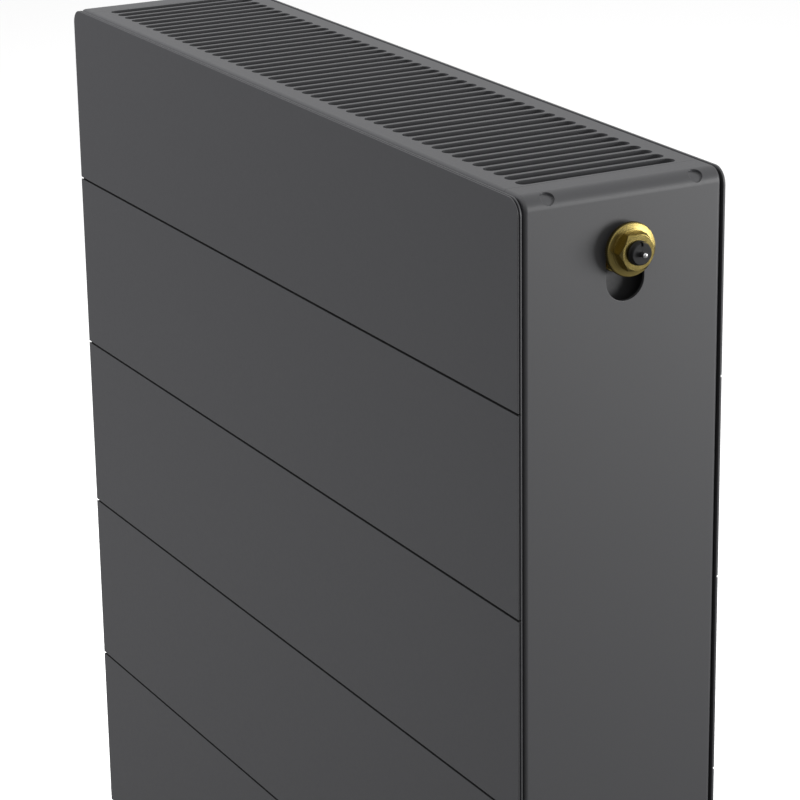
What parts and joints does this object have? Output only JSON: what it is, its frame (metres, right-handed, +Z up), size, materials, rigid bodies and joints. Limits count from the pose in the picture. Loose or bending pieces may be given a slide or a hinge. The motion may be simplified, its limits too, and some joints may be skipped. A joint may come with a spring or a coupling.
{
  "type": "radiator with valve",
  "caption": "Steel panel radiator with flat grooved plates, a slotted top grille and side covers, water panels and convectors inside, and a brass thermostatic valve insert at one side.",
  "frame": {"origin": "middle of the four wall lugs, in the plane of their wall side", "axes": "+X along the radiator towards the valve end, +Y towards the wall, +Z up"},
  "size_m": [0.53, 0.125, 0.6],
  "materials": {
    "plate_paint": "satin anthracite powder coat, very fine texture",
    "cover_paint": "satin anthracite powder coat",
    "grille_paint": "satin anthracite powder coat",
    "panel_paint": "anthracite powder coat over the pressed panels",
    "convector_paint": "anthracite primer coat",
    "tee_paint": "anthracite paint over welded steel",
    "brass": "polished turned brass",
    "black_plastic": "black moulded plastic",
    "steel": "bright turned steel",
    "spring_steel": "drawn spring wire",
    "nickel": "nickel plate",
    "white_plastic": "white moulded plastic",
    "rubber": "black sealing rubber",
    "adhesive": "grey elastic adhesive"
  },
  "bodies": {
    "radiator": {"front_plate": "plate_paint", "back_plate": "plate_paint", "front_bond_strips": "adhesive", "back_bond_strips": "adhesive", "front_outer_sheet": "panel_paint", "front_inner_sheet": "panel_paint", "back_inner_sheet": "panel_paint", "back_outer_sheet": "panel_paint", "front_convector": "convector_paint", "back_convector": "convector_paint", "right_side_cover": "cover_paint", "left_side_cover": "cover_paint", "right_cover_clips": "spring_steel", "left_cover_clips": "spring_steel", "valve_tee": "tee_paint", "top_left_tee": "tee_paint", "bottom_left_tee": "tee_paint", "bottom_right_tee": "tee_paint", "return_tee": "tee_paint", "supply_socket": "tee_paint", "port_bridge": "tee_paint", "riser_pipe": "tee_paint", "insert_body": "brass", "insert_o_ring": "rubber", "return_spring": "spring_steel", "vent_plug": "nickel", "vent_seal": "rubber", "blind_plugs": "nickel", "blind_plug_seals": "rubber", "upper_wall_lugs": "tee_paint", "lower_wall_lugs": "tee_paint"},
    "pin": {"valve_pin": "steel", "plug_washer": "steel", "valve_plug": "rubber"},
    "preset": {"preset_collar": "black_plastic", "metering_sleeve": "brass"},
    "grille": {"top_grille": "grille_paint", "grille_clips": "spring_steel"},
    "vent_screw": {"vent_screw": "nickel"},
    "vent_nozzle": {"vent_nozzle": "white_plastic"}
  },
  "joints": [
    {"name": "pin_push", "type": "slide", "parent": "radiator", "child": "pin", "axis": [-1, 0, 0], "range_m": [0, 0.0025], "stiffness_N_per_m": 1500, "springref_m": -0.002, "deforming": ["return_spring"]},
    {"name": "preset_turn", "type": "hinge", "parent": "radiator", "child": "preset", "pos_m": [0.261, -0.0687, 0.27], "axis": [1, 0, 0], "range_deg": [0, 300]},
    {"name": "grille_lift", "type": "slide", "parent": "radiator", "child": "grille", "axis": [0, 0, 1], "range_m": [0, 0.04]},
    {"name": "vent_screw_turn", "type": "hinge", "parent": "radiator", "child": "vent_screw", "pos_m": [-0.2505, -0.0687, 0.27], "axis": [-1, 0, 0], "range_deg": [0, 360]},
    {"name": "vent_nozzle_swivel", "type": "hinge", "parent": "radiator", "child": "vent_nozzle", "pos_m": [-0.2557, -0.0687, 0.27], "axis": [-1, 0, 0], "continuous": true}
  ]
}
